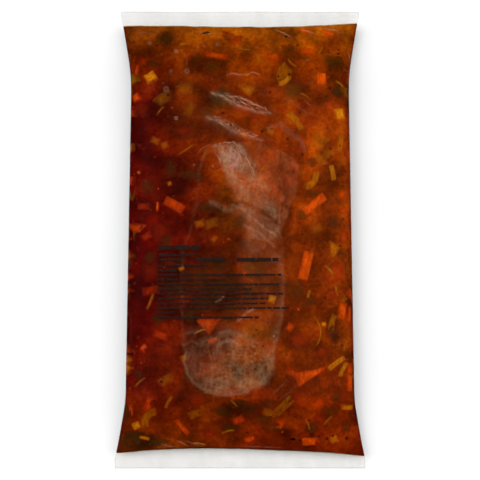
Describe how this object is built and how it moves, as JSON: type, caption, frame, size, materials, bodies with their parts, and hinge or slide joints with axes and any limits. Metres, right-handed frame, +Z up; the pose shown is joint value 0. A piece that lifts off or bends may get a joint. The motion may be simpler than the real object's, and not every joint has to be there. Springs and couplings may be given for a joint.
{
  "type": "sealed pouch of frozen minestrone",
  "caption": "Clear pillow pouch of frozen minestrone, welded straight across both ends, lying flat: diced carrot, potato and celery in a red-brown broth.",
  "frame": {"origin": "on the table, under the middle of the pouch's outer box", "axes": "+Z up; +Y along the pouch, from the foot weld to the head weld; +X to the right"},
  "size_m": [0.21, 0.398, 0.0313],
  "materials": {
    "soup_pouch": "clear film over dark red-brown frozen soup"
  },
  "bodies": {
    "root": {"soup_pouch": "soup_pouch"}
  },
  "joints": []
}
